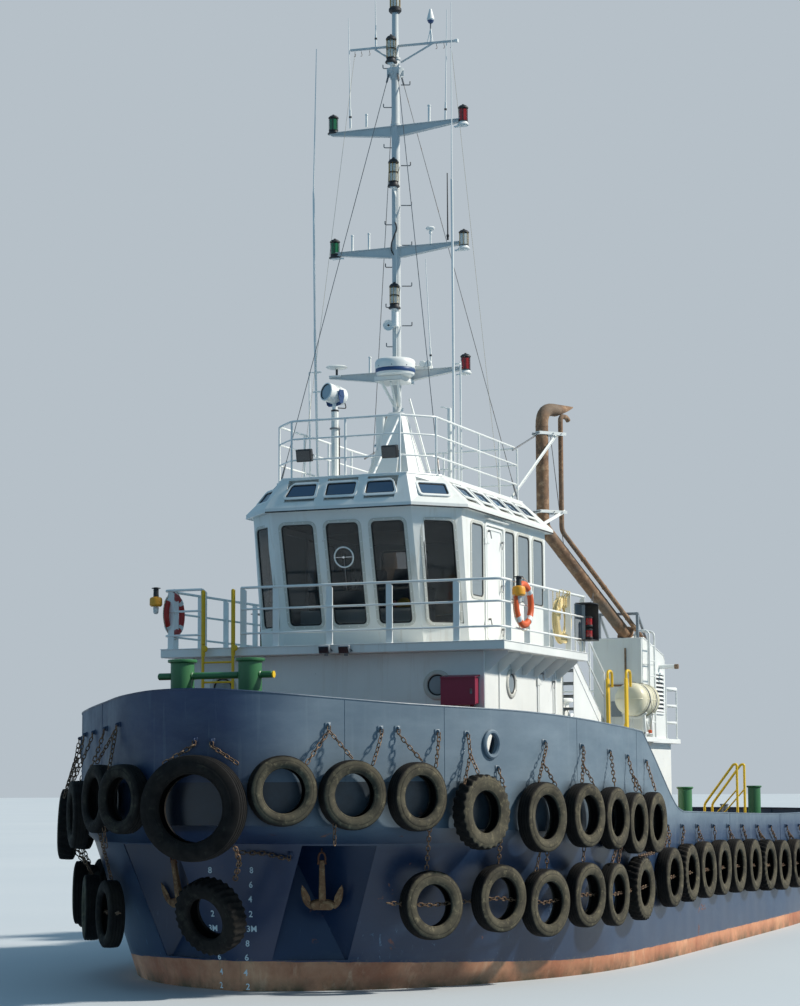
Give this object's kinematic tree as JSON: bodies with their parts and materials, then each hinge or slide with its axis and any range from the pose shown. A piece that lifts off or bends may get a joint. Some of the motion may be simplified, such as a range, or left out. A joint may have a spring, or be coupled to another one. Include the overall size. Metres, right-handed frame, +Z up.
{
  "type": "harbour tug",
  "caption": "Harbour tug with raised fore deck, wheelhouse, tall light mast, twin exhausts and rows of tyre fenders along a navy hull.",
  "frame": {"origin": "on the centreline at the waterline, halfway along the hull", "axes": "+X towards the bow, +Y to port, +Z up"},
  "size_m": [25.2493, 8.7054, 19.35],
  "materials": {
    "hull_paint": "weathered satin",
    "navy_paint": "weathered satin",
    "antifouling": "chalky matt",
    "white_paint": "satin with rust runs",
    "green_paint": "satin",
    "yellow_paint": "satin",
    "deck_paint": "matt",
    "tyre_rubber": "weathered",
    "rusty_steel": "rusty",
    "bronze": "cast",
    "dark_paint": "satin",
    "grey_steel": "galvanised",
    "liferaft_shell": "moulded",
    "window_glass": "tinted",
    "lamp_glass": "clear",
    "red_lamp": "glossy",
    "green_lamp": "glossy",
    "orange_plastic": "faded",
    "rope": "laid",
    "chain_steel": "rusty",
    "brass_fitting": "aged",
    "chrome_fitting": "polished",
    "mark_white": "flat",
    "red_paint": "satin",
    "rubber_seal": "matt"
  },
  "bodies": {
    "root": {"fenders_bow_port": "tyre_rubber", "fenders_bow_starboard": "tyre_rubber", "fenders_side_port": "tyre_rubber", "fenders_side_starboard": "tyre_rubber", "roof_railing": "white_paint", "exhaust_port": "rusty_steel", "exhaust_starboard": "rusty_steel", "hull": "hull_paint", "bridge_railing_port": "white_paint", "mast": "white_paint", "fenders_stern": "tyre_rubber", "anchor_windlass": "green_paint", "towing_bitts": "green_paint", "bulwark_bow": "navy_paint", "bridge_railing_starboard": "white_paint", "wheelhouse_roof": "white_paint", "bow_bitts": "green_paint", "boarding_steps": "yellow_paint", "boat_deck_ladder": "yellow_paint", "bulwark_aft": "navy_paint", "bow_ladder": "yellow_paint", "main_deck_house": "white_paint", "fenders_centre": "tyre_rubber", "stairs_port": "grey_steel", "stairs_starboard": "grey_steel", "wheelhouse_front": "white_paint", "deckhouse_front": "white_paint", "bollard_forward_port": "green_paint", "bollard_forward_starboard": "green_paint", "bollard_aft_port": "green_paint", "bollard_aft_starboard": "green_paint", "anchor_port": "rusty_steel", "anchor_starboard": "rusty_steel", "radar_dome": "white_paint", "wheelhouse_side_starboard": "white_paint", "wheelhouse_side_port": "white_paint", "liferaft_port": "liferaft_shell", "liferaft_starboard": "liferaft_shell", "deckhouse_side_port": "white_paint", "deckhouse_side_starboard": "white_paint", "helm_console": "dark_paint", "towing_post": "green_paint", "boat_deck": "white_paint", "wheelhouse_aft": "white_paint", "deckhouse_aft": "white_paint", "bridge_deck": "white_paint", "casing_port": "white_paint", "casing_starboard": "white_paint", "heaving_line": "rope"},
    "propeller_port": {"propeller_port": "bronze"},
    "propeller_starboard": {"propeller_starboard": "bronze"},
    "rudder_port": {"rudder_port": "hull_paint"},
    "rudder_starboard": {"rudder_starboard": "hull_paint"},
    "deckhouse_door_port": {"deckhouse_door_port": "white_paint"},
    "deckhouse_door_starboard": {"deckhouse_door_starboard": "white_paint"},
    "wheelhouse_door_port": {"wheelhouse_door_port": "white_paint"},
    "wheelhouse_door_starboard": {"wheelhouse_door_starboard": "white_paint"},
    "main_deck_house_door": {"main_deck_house_door": "white_paint"},
    "searchlight": {"searchlight": "white_paint"},
    "towing_hook": {"towing_hook": "dark_paint"}
  },
  "joints": [
    {"name": "propeller_port_spin", "type": "hinge", "parent": "root", "child": "propeller_port", "pos_m": [-10.3, 1.35, -1.85], "axis": [1, 0, 0], "continuous": true},
    {"name": "propeller_starboard_spin", "type": "hinge", "parent": "root", "child": "propeller_starboard", "pos_m": [-10.3, -1.35, -1.85], "axis": [1, 0, 0], "continuous": true},
    {"name": "rudder_port_steer", "type": "hinge", "parent": "root", "child": "rudder_port", "pos_m": [-11.15, 1.35, -1.7], "axis": [0, 0, 1], "range_deg": [-35, 35]},
    {"name": "rudder_starboard_steer", "type": "hinge", "parent": "root", "child": "rudder_starboard", "pos_m": [-11.15, -1.35, -1.7], "axis": [0, 0, 1], "range_deg": [-35, 35]},
    {"name": "deckhouse_door_port_hinge", "type": "hinge", "parent": "root", "child": "deckhouse_door_port", "pos_m": [4.396, 2.45, 3.88], "axis": [0, 0, 1], "range_deg": [-100, 0]},
    {"name": "deckhouse_door_starboard_hinge", "type": "hinge", "parent": "root", "child": "deckhouse_door_starboard", "pos_m": [4.396, -2.45, 3.88], "axis": [0, 0, 1], "range_deg": [0, 100]},
    {"name": "wheelhouse_door_port_hinge", "type": "hinge", "parent": "root", "child": "wheelhouse_door_port", "pos_m": [5.016, 1.795, 6.05], "axis": [0, 0, 1], "range_deg": [-100, 0]},
    {"name": "wheelhouse_door_starboard_hinge", "type": "hinge", "parent": "root", "child": "wheelhouse_door_starboard", "pos_m": [5.016, -1.795, 6.05], "axis": [0, 0, 1], "range_deg": [0, 100]},
    {"name": "main_deck_house_door_hinge", "type": "hinge", "parent": "root", "child": "main_deck_house_door", "pos_m": [-3.4, 1.646, 2.35], "axis": [0, 0, 1], "range_deg": [-100, 0]},
    {"name": "searchlight_pan", "type": "hinge", "parent": "root", "child": "searchlight", "pos_m": [6.4, -0.25, 8.8], "axis": [0, 0, 1], "range_deg": [-170, 170]},
    {"name": "towing_hook_swing", "type": "hinge", "parent": "root", "child": "towing_hook", "pos_m": [-4.3, 0, 2.13], "axis": [0, 0, 1], "range_deg": [-75, 75]}
  ],
  "couplings": [
    {"joint": "rudder_starboard_steer", "follows": "rudder_port_steer", "ratio": 1}
  ]
}
